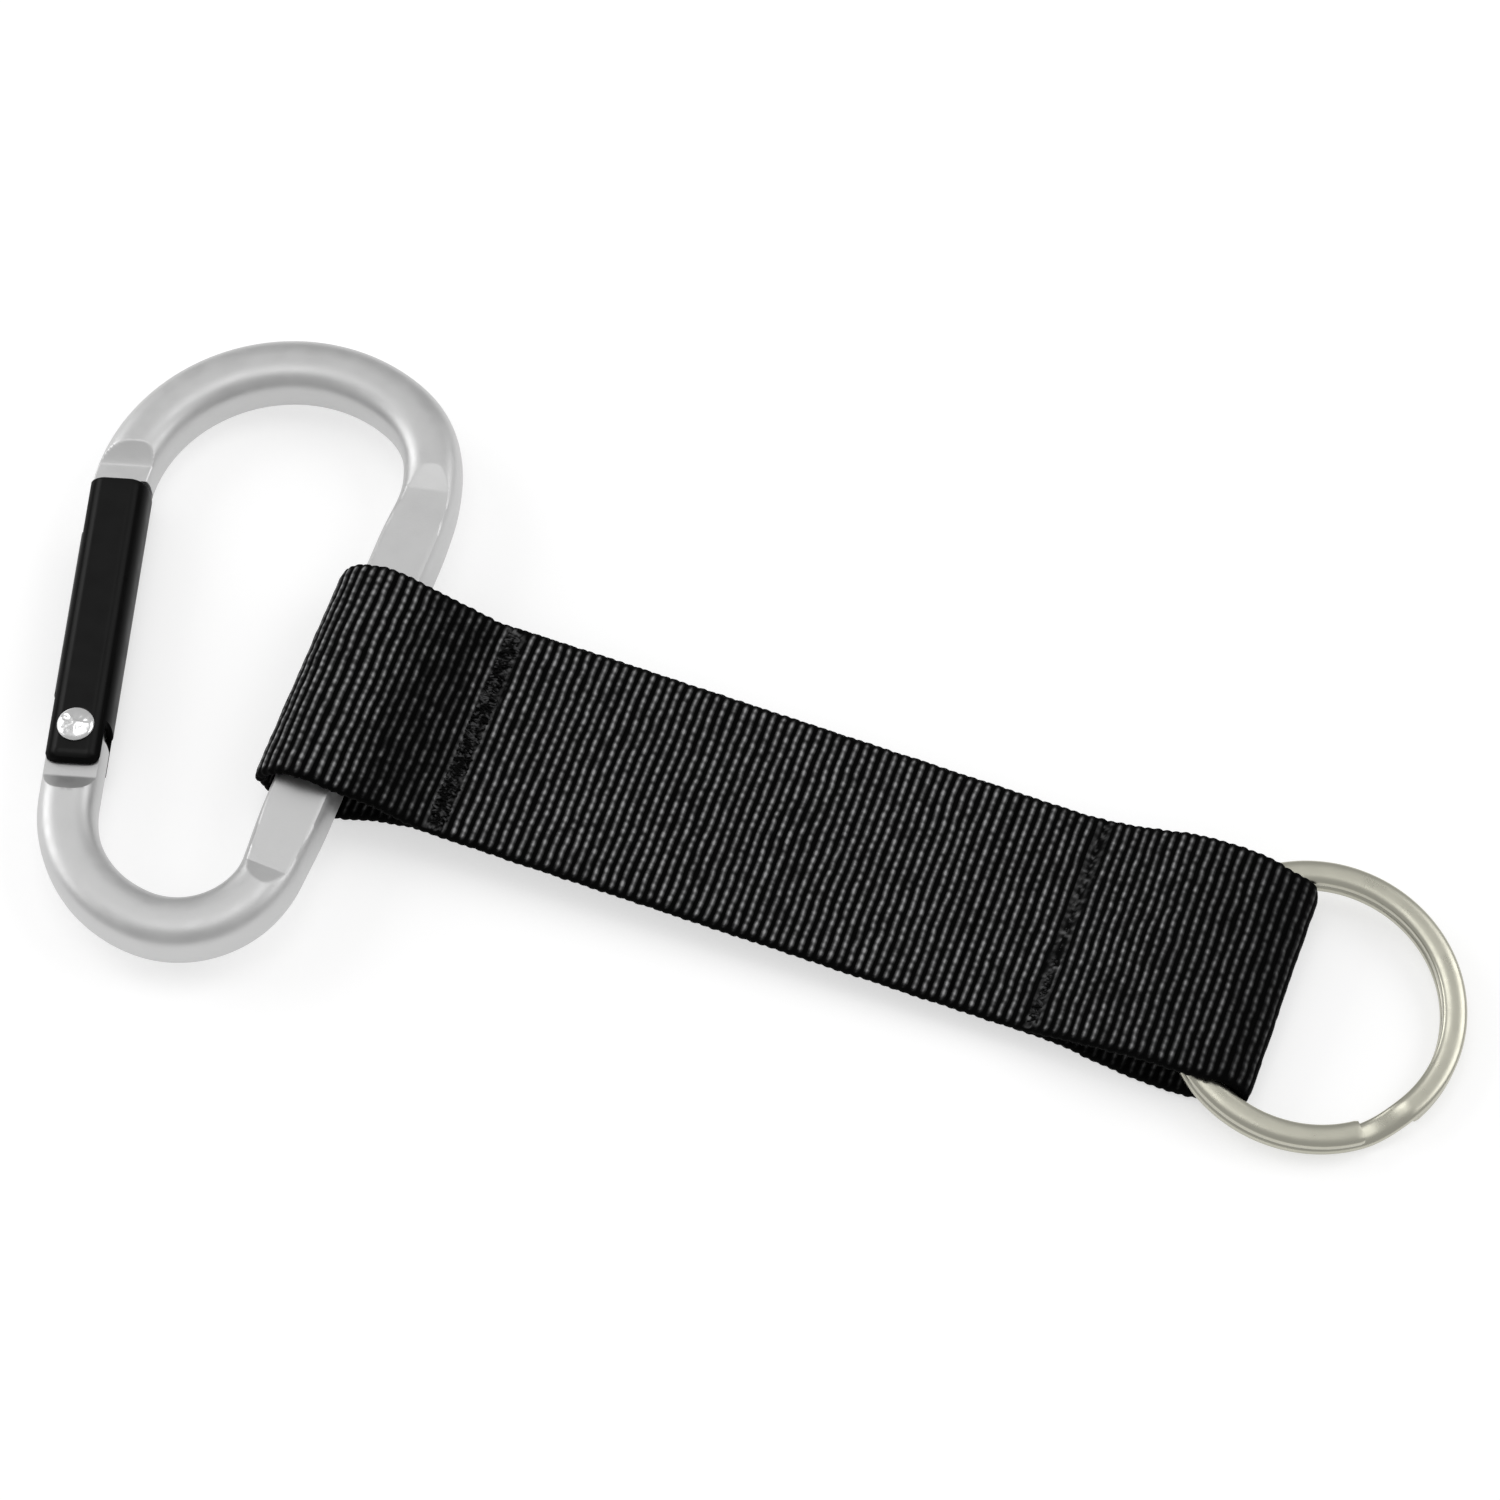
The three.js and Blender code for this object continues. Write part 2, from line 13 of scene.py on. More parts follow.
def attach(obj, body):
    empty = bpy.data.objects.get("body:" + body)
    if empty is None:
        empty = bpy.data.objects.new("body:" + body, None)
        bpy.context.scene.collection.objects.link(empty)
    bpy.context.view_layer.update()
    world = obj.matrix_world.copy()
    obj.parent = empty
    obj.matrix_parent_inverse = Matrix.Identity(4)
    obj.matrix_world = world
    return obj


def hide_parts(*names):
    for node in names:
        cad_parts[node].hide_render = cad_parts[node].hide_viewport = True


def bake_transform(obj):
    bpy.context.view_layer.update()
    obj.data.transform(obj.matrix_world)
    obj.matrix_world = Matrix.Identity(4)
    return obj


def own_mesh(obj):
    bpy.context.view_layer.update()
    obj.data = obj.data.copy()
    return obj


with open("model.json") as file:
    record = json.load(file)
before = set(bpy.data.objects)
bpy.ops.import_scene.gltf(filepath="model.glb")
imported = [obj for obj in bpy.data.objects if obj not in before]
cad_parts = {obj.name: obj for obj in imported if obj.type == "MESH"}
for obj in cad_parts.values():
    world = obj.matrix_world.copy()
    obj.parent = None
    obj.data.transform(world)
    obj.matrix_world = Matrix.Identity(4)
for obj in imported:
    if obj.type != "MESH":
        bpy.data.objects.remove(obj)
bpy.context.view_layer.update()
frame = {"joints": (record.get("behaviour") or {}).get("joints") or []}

MM = 0.001
joints = {joint["name"]: joint for joint in frame["joints"]}

# ---- Driving dimensions, millimetres and degrees ----
ROUNDNESS = 2.9  # exponent of the rounded-square sections
ROD_HALF = 3.2
SPINE_TOP = 11.8
SPINE_BOTTOM = -32.95
TOP_BENDS = ((17.3, 23), (11.1, 39), (18.2, None))  # radius, turn; the last closes the turn
BOTTOM_BEND = (10.2, 94)
RIVET_ABOVE_BEND = 7.9
PAD_HALF_WIDTH = 3.6
PAD_HALF_HEIGHT = 3.6  # before it is planed
PAD_FACE = 2.75  # height of the pressed face above the rod's middle
PAD_TOP = 14.5
PAD_BOTTOM = -33.9
PAD_SCOOP = 1.9  # the ramp at the lower end of the pressed face
PAD_RUNOUT = 3.0  # and at its upper end
TONGUE_FACE = 2.05
TONGUE_RAMP = 2.0
NOSE_RAMP = 2.6
NOSE_FLAT = 2.2
HINGE_FLAT = 1.4
HEEL_REACH = 3.4
HEEL_CORNER = 1.2
NOSE_REACH = 5.6
NOSE_CORNER = 0.5
HINGE_SHOULDER = -1.0  # the tongue is narrower on its inner side above this station

GATE_HALF_WIDTH = 3.35
GATE_HALF_HEIGHT = 3.3
GATE_WALL = 0.7  # left on the inner side, where the gate stops against the nose tongue
GATE_TAIL = -4.2
GATE_TOP = 30.8
GATE_FLAT = 1.68  # half width of the flat above and below
GATE_ROUNDNESS = 3.0
GATE_SOFTNESS = 0.14
GATE_EDGE = 0.4
SLOT_HALF = 2.3
HINGE_SLOT_DEPTH = 4.4
HINGE_MOUTH = 1.2  # the inner side is open below this station
NOSE_SLOT_START = 24.2
CUT_BACK = 0.15  # relief on the gate's inner side beside the rivet
BORE_RADIUS = 1.7
BORE_END = 22.0
FIT_GAP = 0.3
PIN_GAP = 0.15
RIVET_SHANK = 1.25
RIVET_HEAD = 2.0
RIVET_RISE = 0.45
DIMPLE_SIZE = 0.55
DIMPLE_DEPTH = 0.13
PLUNGER_RADIUS = 1.5
PLUNGER_START = 3.7
PLUNGER_END = 11.7
PLUNGER_BEVEL = 0.35
SPRING_RADIUS = 1.25
SPRING_WIRE = 0.225
SPRING_START = 12.3
SPRING_END = 21.4
SPRING_TURNS = 8

STRAP_BACK = 9.9  # the strap's middle is this far below the link's y = 0
WEB_HALF_WIDTH = 13.1
LAYER_OFFSET = 0.65  # from the mid-height of the two layers to the middle of each
LOOP_MID_RADIUS = 4.75
LOOP_SLACK = 0.6  # the loop stands this much further out on the spine's inner side
PANEL_START = 4.4  # mid-height of the two layers at the spine seam
PANEL_END = 2.45  # and at the ring seam
RIB_PITCH = 1.06
RIB_BASE = 0.38
RIB_HEIGHT = 0.29
BEAD_PITCH = 0.95  # the yarn's turns along each rib
WEB_COLUMNS = 84  # points across the ribbed face
INNER_COLUMNS = 12
EDGE_COLUMNS = 4  # round each selvedge
INNER_FACE = 0.55
SELVEDGE = 0.5
JOIN_X = 72.0
SPINE_SEAM_X = 14.5
RING_SEAM_X = 80.6
LOOP_ROLL = 0.08  # the ring's loop is lower on its near side
STRAP_ROLL = 0.02  # and so is the strap, less
LAYER_SKEW = 0.65  # the lower layer lies this far inside the upper one's near edge
CREST_BULGE = 0.35  # extra height over the wire, in the middle of the loop
CREST_X = 92.5
LOOP_WIDENING = 0.3  # the band is wider round the spine
FOLD_NARROWING = 0.65  # and narrower at the far fold

RING_MID_RADIUS = 14.875
WIRE_HALF_WIDTH = 1.325
WIRE_HALF_HEIGHT = 0.7
COIL_RISE = 1.52
JOG_START = -53
JOG_END = -30


# ---- Local frames from the joints ----
def basis(x, y, z, origin):
    return Matrix.Translation(origin) @ Matrix((x, y, z)).transposed().to_4x4()


swing = Vector(joints["strap_swing"]["pos_m"])
gate_z = -Vector(joints["gate_swing"]["axis"]).normalized()
link_y = Vector((0, 1, 0))
link_origin = Vector((swing.x, swing.y + STRAP_BACK * MM, swing.z))
LINK = basis(link_y.cross(gate_z), link_y, gate_z, link_origin)
gate_y = Vector(joints["plunger_slide"]["axis"]).normalized()
GATE = basis(gate_y.cross(gate_z), gate_y, gate_z, Vector(joints["gate_swing"]["pos_m"]))
STRAP = Matrix.Translation((swing.x, swing.y, 0))
ring_z = Vector(joints["ring_spin"]["axis"]).normalized()
ring_x = Vector((0, 1, 0)).cross(ring_z).normalized()
RING = basis(ring_x, ring_z.cross(ring_x), ring_z, Vector(joints["ring_spin"]["pos_m"]))


# ---- Seeded noise ----
def lattice(seed):
    return np.random.default_rng(seed).random((256, 256)) * 2 - 1


def noise(x, y, seed):
    """Smooth value noise from -1 to 1 on a lattice of unit cells."""
    table = lattice(seed)
    x, y = np.broadcast_arrays(np.asarray(x, float), np.asarray(y, float))
    left, low = np.floor(x).astype(int), np.floor(y).astype(int)
    u, v = x - left, y - low
    u, v = u * u * (3 - 2 * u), v * v * (3 - 2 * v)
    near = table[left % 256, low % 256] * (1 - u) + table[(left + 1) % 256, low % 256] * u
    far = table[left % 256, (low + 1) % 256] * (1 - u) + table[(left + 1) % 256, (low + 1) % 256] * u
    return near * (1 - v) + far * v


def smoothstep(low, high, x):
    t = np.clip((np.asarray(x, float) - low) / (high - low), 0, 1)
    return t * t * (3 - 2 * t)


# ---- Mesh building ----
def make_object(name, vertices, faces, matrix, material, marks=None):
    """A mesh drawn in millimetres, moved to the row frame, with its faces turned outwards.
    marks are named values at its points, which its material reads."""
    mesh = bpy.data.meshes.new(name)
    mesh.from_pydata(np.asarray(vertices, float) * MM, [], faces)
    mesh.transform(matrix)
    for mark, values in (marks or {}).items():
        kind, key = ("FLOAT", "value") if values.ndim == 2 else ("FLOAT_VECTOR", "vector")
        mesh.attributes.new(mark, kind, "POINT").data.foreach_set(key, values.ravel())
    shell = bmesh.new()
    shell.from_mesh(mesh)
    bmesh.ops.recalc_face_normals(shell, faces=shell.faces)
    shell.to_mesh(mesh)
    shell.free()
    mesh.shade_smooth()
    mesh.materials.append(material)
    made = bpy.data.objects.new(name, mesh)
    bpy.context.scene.collection.objects.link(made)
    return made


def skin(rings, first=0):
    """Quads between successive closed rings of points, with a face over each end."""
    count, around, _ = rings.shape
    row = np.arange(count - 1)[:, None] * around + first
    here = np.arange(around)[None, :]
    following = (here + 1) % around
    corners = (row + here, row + following, row + around + following, row + around + here)
    faces = np.stack(corners, -1).reshape(-1, 4).tolist()
    faces.append(list(range(first, first + around)))
    faces.append(list(range(first + (count - 1) * around, first + count * around)))
    return faces


def swept(name, rings, matrix, material, marks=None):
    return make_object(name, rings.reshape(-1, 3), skin(rings), matrix, material, marks)


def many_swept(name, ring_sets, matrix, material):
    """Several closed tubes in one object."""
    faces, first = [], 0
    for rings in ring_sets:
        faces += skin(rings, first)
        first += rings.shape[0] * rings.shape[1]
    points = np.concatenate([rings.reshape(-1, 3) for rings in ring_sets])
    return make_object(name, points, faces, matrix, material)


def crease(made, degrees=32):
    made.data.set_sharp_from_angle(angle=math.radians(degrees))
    return made


def even_normals(made):
    """Shades by face area, so that the slivers left by a cut don't show."""
    weighted = made.modifiers.new("normals", "WEIGHTED_NORMAL")
    weighted.keep_sharp = True
    return made


def cut_out(made, cutters):
    """Cuts helper objects out of a piece and deletes them."""
    for cutter in cutters:
        boolean = made.modifiers.new("cut", "BOOLEAN")
        boolean.operation = "DIFFERENCE"
        boolean.solver = "EXACT"
        boolean.object = cutter
    bpy.context.view_layer.update()
    evaluated = made.evaluated_get(bpy.context.evaluated_depsgraph_get())
    result = bpy.data.meshes.new_from_object(evaluated)
    made.modifiers.clear()
    made.data = result
    for cutter in cutters:
        bpy.data.objects.remove(cutter)
    return made


def cylinder(radius, axis, low, high, matrix):
    """A helper cylinder on the Y or Z axis of a local frame."""
    sides = 40
    angle = np.linspace(0, 2 * np.pi, sides, endpoint=False)
    across, up = radius * np.cos(angle), radius * np.sin(angle)
    rings = np.zeros((2, sides, 3))
    for ring, station in zip(rings, (low, high)):
        if axis == "Z":
            ring[:] = np.stack((across, up, np.full(sides, station)), -1)
        else:
            ring[:] = np.stack((across, np.full(sides, station), up), -1)
    return swept("cutter", rings, matrix, None)


def block(low, high, matrix):
    corners = [(x, y, z) for x in (low[0], high[0]) for y in (low[1], high[1]) for z in (low[2], high[2])]
    faces = [(0, 1, 3, 2), (4, 6, 7, 5), (0, 4, 5, 1), (2, 3, 7, 6), (0, 2, 6, 4), (1, 5, 7, 3)]
    return make_object("cutter", corners, faces, matrix, None)


def turned(name, profile, matrix, material, axis="Y", sides=48):
    """A lathed piece: profile rows are (radius, station along the axis)."""
    angle = np.linspace(0, 2 * np.pi, sides, endpoint=False)
    rings = np.zeros((len(profile), sides, 3))
    for ring, (radius, station) in zip(rings, profile):
        around = (radius * np.cos(angle), radius * np.sin(angle))
        level = np.full(sides, station)
        stacked = (around[0], around[1], level) if axis == "Z" else (around[0], level, around[1])
        ring[:] = np.stack(stacked, -1)
    return swept(name, rings, matrix, material)


def signed_power(value, power):
    return np.sign(value) * np.abs(value) ** power


def rounded_square(half_width, half_height, sides):
    angle = 2 * np.pi * (np.arange(sides) + 0.5) / sides
    power = 2 / ROUNDNESS
    across = half_width * signed_power(np.cos(angle), power)
    return across, half_height * signed_power(np.sin(angle), power)


# ---- Materials ----
class Shader:
    """A Principled material, with short ways to add the nodes that vary over its surface."""

    def __init__(self, name, **constants):
        self.material = bpy.data.materials.new(name)
        self.material.use_nodes = True
        self.nodes = self.material.node_tree.nodes
        self.links = self.material.node_tree.links
        self.surface = self.nodes["Principled BSDF"]
        for socket, value in constants.items():
            self.surface.inputs[socket.replace("_", " ")].default_value = value

    def add(self, kind, inputs=None, **settings):
        node = self.nodes.new("ShaderNode" + kind)
        for key, value in settings.items():
            setattr(node, key, value)
        for socket, value in (inputs or {}).items():
            if isinstance(value, bpy.types.NodeSocket):
                self.links.new(value, node.inputs[socket])
            else:
                node.inputs[socket].default_value = value
        return node

    def grain(self, scale, detail=3.0, roughness=0.6, vector=None):
        """Noise of about 1/scale metres."""
        place = vector or self.add("TexCoord").outputs["Object"]
        sockets = {"Vector": place, "Scale": scale, "Detail": detail, "Roughness": roughness}
        return self.add("TexNoise", sockets).outputs["Fac"]

    def spread(self, value, low, high, new_low, new_high):
        sockets = {"Value": value, "From Min": low, "From Max": high, "To Min": new_low, "To Max": new_high}
        return self.add("MapRange", sockets).outputs["Result"]

    def blend(self, factor, first, second):
        node = self.add("Mix", data_type="RGBA")
        self.links.new(factor, node.inputs["Factor"])
        node.inputs["A"].default_value = (*first, 1)
        node.inputs["B"].default_value = (*second, 1)
        return node.outputs["Result"]

    def times(self, first, second):
        return self.add("Math", {0: first, 1: second}, operation="MULTIPLY").outputs[0]

    def drive(self, socket, value):
        self.links.new(value, self.surface.inputs[socket])

    def bump(self, height, strength, depth, under=None):
        sockets = {"Height": height, "Strength": strength, "Distance": depth}
        if under is not None:
            sockets["Normal"] = under
        normal = self.add("Bump", sockets).outputs["Normal"]
        self.drive("Normal", normal)
        return normal


def satin_aluminium():
    """Bead-blasted aluminium: fine grain, with faint cloudy patches in its roughness."""
    shader = Shader("satin_aluminium", Metallic=1.0)
    clouds = shader.grain(420, 3.0)
    fine = shader.grain(4200, 3.0)
    shader.drive("Base Color", shader.blend(clouds, (0.56, 0.56, 0.56), (0.63, 0.63, 0.628)))
    shader.drive("Roughness", shader.spread(clouds, 0.3, 0.7, 0.42, 0.52))
    shader.bump(fine, 0.16, 0.00005)
    return shader.material


def black_anodised():
    """Black anodising with painted shade: its reflection is turned down where the surface faces sideways, so
    the flat above catches the light and the rounded sides stay dark.
    """
    shader = Shader("black_anodised", Metallic=0.0, IOR=1.5)
    facing_for_painted_shade = shader.add("SeparateXYZ", {0: shader.add("TexCoord").outputs["Normal"]}).outputs["Z"]
    shader.drive("Specular IOR Level", shader.spread(facing_for_painted_shade, 0.80, 0.97, 0.03, 0.17))
    clouds = shader.grain(300, 2.0)
    fine = shader.grain(4200, 2.0)
    shader.drive("Base Color", shader.blend(clouds, (0.0025, 0.0025, 0.0025), (0.004, 0.004, 0.004)))
    shader.drive("Roughness", shader.spread(clouds, 0.3, 0.7, 0.27, 0.36))
    shader.bump(fine, 0.06, 0.00003)
    return shader.material


def rubbed_metal(name, colour, worn, low, high):
    """Bright metal, a little duller and rougher where it is worn."""
    shader = Shader(name, Metallic=1.0)
    bright = shader.grain(420, 4.0)
    fine = shader.grain(2600, 2.0)
    shader.drive("Base Color", shader.blend(bright, worn, colour))
    shader.drive("Roughness", shader.spread(bright, 0.3, 0.7, high, low))
    shader.bump(fine, 0.05, 0.00004)
    return shader.material


def woven_nylon():
    """Ribbed webbing: the rib crowns are smoother, and a highlight is painted on them through the crown mark;
    the grooves are painted black as shade.
    """
    shader = Shader("woven_nylon", Metallic=0.0, IOR=1.5, Specular_IOR_Level=0.06)
    crown = shader.add("Attribute", attribute_name="crown").outputs["Fac"]
    yarn = shader.add("Attribute", attribute_name="yarn").outputs["Vector"]
    cloth = shader.add("Attribute", attribute_name="cloth").outputs["Vector"]
    turn = shader.add("Attribute", attribute_name="turn").outputs["Fac"]
    beads = shader.grain(1.15, 1.0, 0.5, yarn)
    bead = shader.add("Math", {0: turn}, operation="SINE").outputs[0]
    filaments = shader.grain(3.2, 3.0, 0.7, cloth)
    lit = shader.times(crown, shader.spread(beads, 0.32, 0.68, 0.35, 1.30))
    lit = shader.times(lit, shader.spread(bead, -0.9, 0.7, 0.48, 1.12))
    lit = shader.times(lit, shader.spread(filaments, 0.3, 0.7, 0.75, 1.2))
    # Painted highlight on the rib crowns and painted shade in the grooves, broken into beads along the yarn.
    shader.drive("Base Color", shader.blend(lit, (0.0003, 0.0003, 0.0003), (0.30, 0.30, 0.303)))
    shader.drive("Roughness", shader.spread(crown, 0.0, 1.0, 0.85, 0.5))
    shader.bump(filaments, 0.35, 0.00006)
    return shader.material


def sewing_thread():
    shader = Shader("sewing_thread", Metallic=0.0, IOR=1.5, Specular_IOR_Level=0.05, Roughness=0.6)
    flecks = shader.grain(1300, 2.0)
    twist = shader.grain(6500, 2.0)
    # Painted glints: random flecks of the black thread are painted lighter, as strands catching the light.
    lit = shader.spread(flecks, 0.48, 0.62, 0.0, 1.0)
    shader.drive("Base Color", shader.blend(lit, (0.0015, 0.0015, 0.0015), (0.055, 0.055, 0.056)))
    shader.bump(twist, 0.4, 0.00005)
    return shader.material


ALUMINIUM = satin_aluminium()
GATE_BLACK = black_anodised()
NICKEL = rubbed_metal("plated_nickel", (0.53, 0.52, 0.44), (0.49, 0.48, 0.405), 0.26, 0.34)
RIVET_STEEL = rubbed_metal("rivet_steel", (0.90, 0.90, 0.90), (0.74, 0.74, 0.74), 0.20, 0.30)
SPRING_STEEL = rubbed_metal("spring_steel", (0.62, 0.62, 0.62), (0.50, 0.50, 0.50), 0.25, 0.40)
WEBBING = woven_nylon()
THREAD = sewing_thread()


# ---- Snap link body ----
def unit(angle):
    return np.array((math.cos(angle), math.sin(angle)))


def gate_line():
    """The rivet's place and the gate's direction, in the link's own plane."""
    rivet = LINK.inverted() @ Vector(joints["gate_swing"]["pos_m"]) / MM
    up = LINK.inverted().to_3x3() @ gate_y
    return np.array((rivet.x, rivet.y)), np.array((up.x, up.y))


def link_outline():
    """The rod's middle line: its start, its first heading and its legs of (length, radius)."""
    rivet, gate_up = gate_line()
    lean = math.atan2(-gate_up[0], gate_up[1])
    (radius1, turn1), (radius2, turn2), (radius3, _) = TOP_BENDS
    turns = [math.radians(turn1), math.radians(turn2)]
    turns.append(math.pi + lean - sum(turns))
    top_end = np.array((-radius1, SPINE_TOP)) + unit(turns[0]) * (radius1 - radius2)
    top_end = top_end + unit(turns[0] + turns[1]) * (radius2 - radius3)
    top_end = top_end - unit(lean) * radius3
    bottom_radius, bottom_turn = BOTTOM_BEND[0], math.radians(BOTTOM_BEND[1])
    outward = unit(-bottom_turn)
    across = unit(lean)
    centre = np.array((-bottom_radius, SPINE_BOTTOM))
    reach = centre @ across + bottom_radius * (outward @ across)
    closing = (reach - top_end @ across) / (1 + outward @ across)
    nose_end = rivet + gate_up * (GATE_TOP - NOSE_REACH)
    legs = [
        (RIVET_ABOVE_BEND + HEEL_REACH, None),
        (closing * (math.pi - lean - bottom_turn), closing),
        (bottom_radius * bottom_turn, bottom_radius),
        (SPINE_TOP - SPINE_BOTTOM, None),
        (radius1 * turns[0], radius1),
        (radius2 * turns[1], radius2),
        (radius3 * turns[2], radius3),
        (float(np.linalg.norm(top_end - nose_end)), None),
    ]
    return rivet + gate_up * HEEL_REACH, lean - math.pi / 2, legs


def walk(start, heading, legs, stations):
    """Points and headings at distances along straights and left-hand arcs."""
    points, headings = [], []
    for station in stations:
        place, angle, left = np.array(start, float), heading, float(station)
        for length, radius in legs:
            run = min(left, length)
            if radius:
                after = angle + run / radius
                place[0] += radius * (math.sin(after) - math.sin(angle))
                place[1] -= radius * (math.cos(after) - math.cos(angle))
                angle = after
            else:
                place = place + unit(angle) * run
            left -= run
            if left <= 1e-9:
                break
        points.append(place)
        headings.append(angle)
    return np.array(points), np.array(headings)


def hollow_ramp(distance, length, low, high):
    """Height of a ramp up from a flat, a little hollow; no limit beyond it."""
    share = np.clip(distance / length, 0, 1)
    return np.where(distance > length, 99.0, low + (high - low) * share**1.15)


def corner_inset(distance, radius):
    """How far a corner of this radius draws a side in, at a distance from the end."""
    left = np.clip(radius - distance, 0, radius)
    return radius - np.sqrt(radius * radius - left * left)


def planed_sections(inner, outer, high, cap):
    """Rings of a rounded square planed off at +-cap, with ring points kept on the plane's edges."""
    n = ROUNDNESS
    inner, outer, high, cap = (np.asarray(v, float)[:, None] for v in (inner, outer, high, cap))
    share = np.minimum(cap / high, 1)

    def edge(half):
        return np.maximum(half * (1 - share**n) ** (1 / n), 0.55 * half)

    def face(t):
        wide = np.where(t < 0, edge(outer), edge(inner))
        u = t * wide
        crown = high * (1 - np.abs(u / np.where(t < 0, outer, inner)) ** n) ** (1 / n)
        return u, np.minimum(crown, cap)

    def flank(half, q):
        phi = np.arccos((edge(half) / half) ** (n / 2)) * q
        return half * np.cos(phi) ** (2 / n), high * np.sign(q) * np.abs(np.sin(phi)) ** (2 / n)

    across = np.linspace(-1, 1, 15)[None, :]
    down = np.linspace(1, -1, 23)[None, 1:-1]
    top_u, top_w = face(across)
    in_u, in_w = flank(inner, down)
    out_u, out_w = flank(outer, -down)
    u = np.concatenate((top_u, in_u, top_u[:, ::-1], -out_u), 1)
    w = np.concatenate((top_w, in_w, -top_w[:, ::-1], out_w), 1)
    return u, w


def pressed_face(y):
    """Height of the spine's pressed faces, which ramp up to the rod at both ends."""
    scoop = np.clip((PAD_BOTTOM - y) / PAD_SCOOP, 0, None)
    runout = np.clip((y - PAD_TOP) / PAD_RUNOUT, 0, None)
    share = np.maximum(scoop, runout)
    return PAD_FACE + (ROD_HALF - PAD_FACE) * share + 9 * (share > 1.2)


def milled_nose(plane):
    """Height of the nose's faces, which are milled square to the gate's line."""
    rivet, up = gate_line()
    along = (plane[..., 0] - rivet[0]) * up[0] + (plane[..., 1] - rivet[1]) * up[1]
    beyond = along - GATE_TOP - NOSE_FLAT
    return hollow_ramp(beyond, NOSE_RAMP, TONGUE_FACE, ROD_HALF)


def link_stations(total, spine_start):
    """Close together where the section changes quickly, and even elsewhere."""
    foot = HEEL_REACH - GATE_TAIL + HINGE_FLAT
    nose_foot = total - NOSE_REACH - NOSE_FLAT
    pad_low = spine_start + PAD_BOTTOM - SPINE_BOTTOM
    pad_high = spine_start + PAD_TOP - SPINE_BOTTOM
    close = [
        np.linspace(0, HEEL_CORNER, 10),
        foot + TONGUE_RAMP * np.sin(np.linspace(0, math.pi / 2, 26)),
        nose_foot - np.linspace(-0.8, NOSE_RAMP + 1.2, 44),
        total - np.linspace(0, NOSE_CORNER + 0.15, 8),
        np.arange(pad_low - PAD_SCOOP - 0.6, pad_low + 1.0, 0.12),
        np.arange(pad_high - 1.0, pad_high + PAD_RUNOUT + 0.8, 0.16),
        np.linspace(0, total, int(total / 0.42)),
    ]
    stations = np.unique(np.round(np.concatenate(close), 3))
    return stations[np.concatenate(([True], np.diff(stations) > 0.012))]


def link_body():
    start, heading, legs = link_outline()
    total = sum(length for length, _ in legs)
    spine_start = sum(length for length, _ in legs[:3])
    s = link_stations(total, spine_start)
    points, headings = walk(start, heading, legs, s)
    spine_y = SPINE_BOTTOM + s - spine_start
    pad = smoothstep(PAD_BOTTOM - 2, PAD_BOTTOM + 8, spine_y)
    pad = pad * (1 - smoothstep(PAD_TOP - 7, PAD_TOP + 2, spine_y))
    nose = total - s
    cap = hollow_ramp(s - (HEEL_REACH - GATE_TAIL + HINGE_FLAT), TONGUE_RAMP, TONGUE_FACE, ROD_HALF)
    half = ROD_HALF + (PAD_HALF_WIDTH - ROD_HALF) * pad
    high = ROD_HALF + (PAD_HALF_HEIGHT - ROD_HALF) * pad
    corners = corner_inset(s, HEEL_CORNER) + corner_inset(nose, NOSE_CORNER)
    u, w = planed_sections(half - corners, half - corners, high, cap)
    pressed = pressed_face(spine_y)[:, None]
    w = np.clip(w, -pressed, pressed)
    side = np.stack((-np.sin(headings), np.cos(headings)), -1)
    plane = points[:, None, :] + side[:, None, :] * u[..., None]
    nose_face = np.where(nose[:, None] < 25, milled_nose(plane), 99)
    w = np.clip(w, -nose_face, nose_face)
    rings = np.concatenate((plane, w[..., None]), -1)
    body = swept("link_body", rings, LINK, ALUMINIUM)
    shoulder = GATE_HALF_WIDTH - GATE_WALL - FIT_GAP
    cut_out(body, [
        block((shoulder, GATE_TOP - NOSE_REACH - 1, -4), (5, GATE_TOP + FIT_GAP, 4), GATE),
        block((shoulder, HINGE_SHOULDER, -4), (5, HEEL_REACH + 1, 4), GATE),
        cylinder(RIVET_SHANK + PIN_GAP, "Z", -4, 4, GATE),
    ])
    crease(body)
    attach(body, "carabiner")
    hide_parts("carabiner_body")


# ---- Gate ----
def gate_section(inset):
    """A barrel-sided tube with a flat above and below, its edges a little softened."""
    n, sides = GATE_ROUNDNESS, 120
    wide = GATE_HALF_WIDTH
    deep = GATE_HALF_HEIGHT / (1 - (GATE_FLAT / wide) ** n) ** (1 / n)
    angle = 2 * math.pi * np.arange(4000) / 4000
    x = wide * signed_power(np.cos(angle), 2 / n)
    z = np.clip(deep * signed_power(np.sin(angle), 2 / n), -GATE_HALF_HEIGHT, GATE_HALF_HEIGHT)
    outline = np.stack((x, z), -1)
    outline = np.concatenate((outline, outline[:1]))
    steps = np.concatenate(([0], np.cumsum(np.linalg.norm(np.diff(outline, axis=0), axis=1))))
    even = np.linspace(0, steps[-1], 4 * sides, endpoint=False)
    x, z = (np.interp(even, steps, outline[:, i]) for i in (0, 1))
    frequency = np.fft.fftfreq(4 * sides, steps[-1] / (4 * sides))
    blur = np.exp(-2 * (np.pi * frequency * GATE_SOFTNESS) ** 2)
    x, z = (np.fft.ifft(np.fft.fft(side) * blur).real[::4] for side in (x, z))
    return x * (1 - inset / wide), z * (1 - inset / GATE_HALF_HEIGHT)


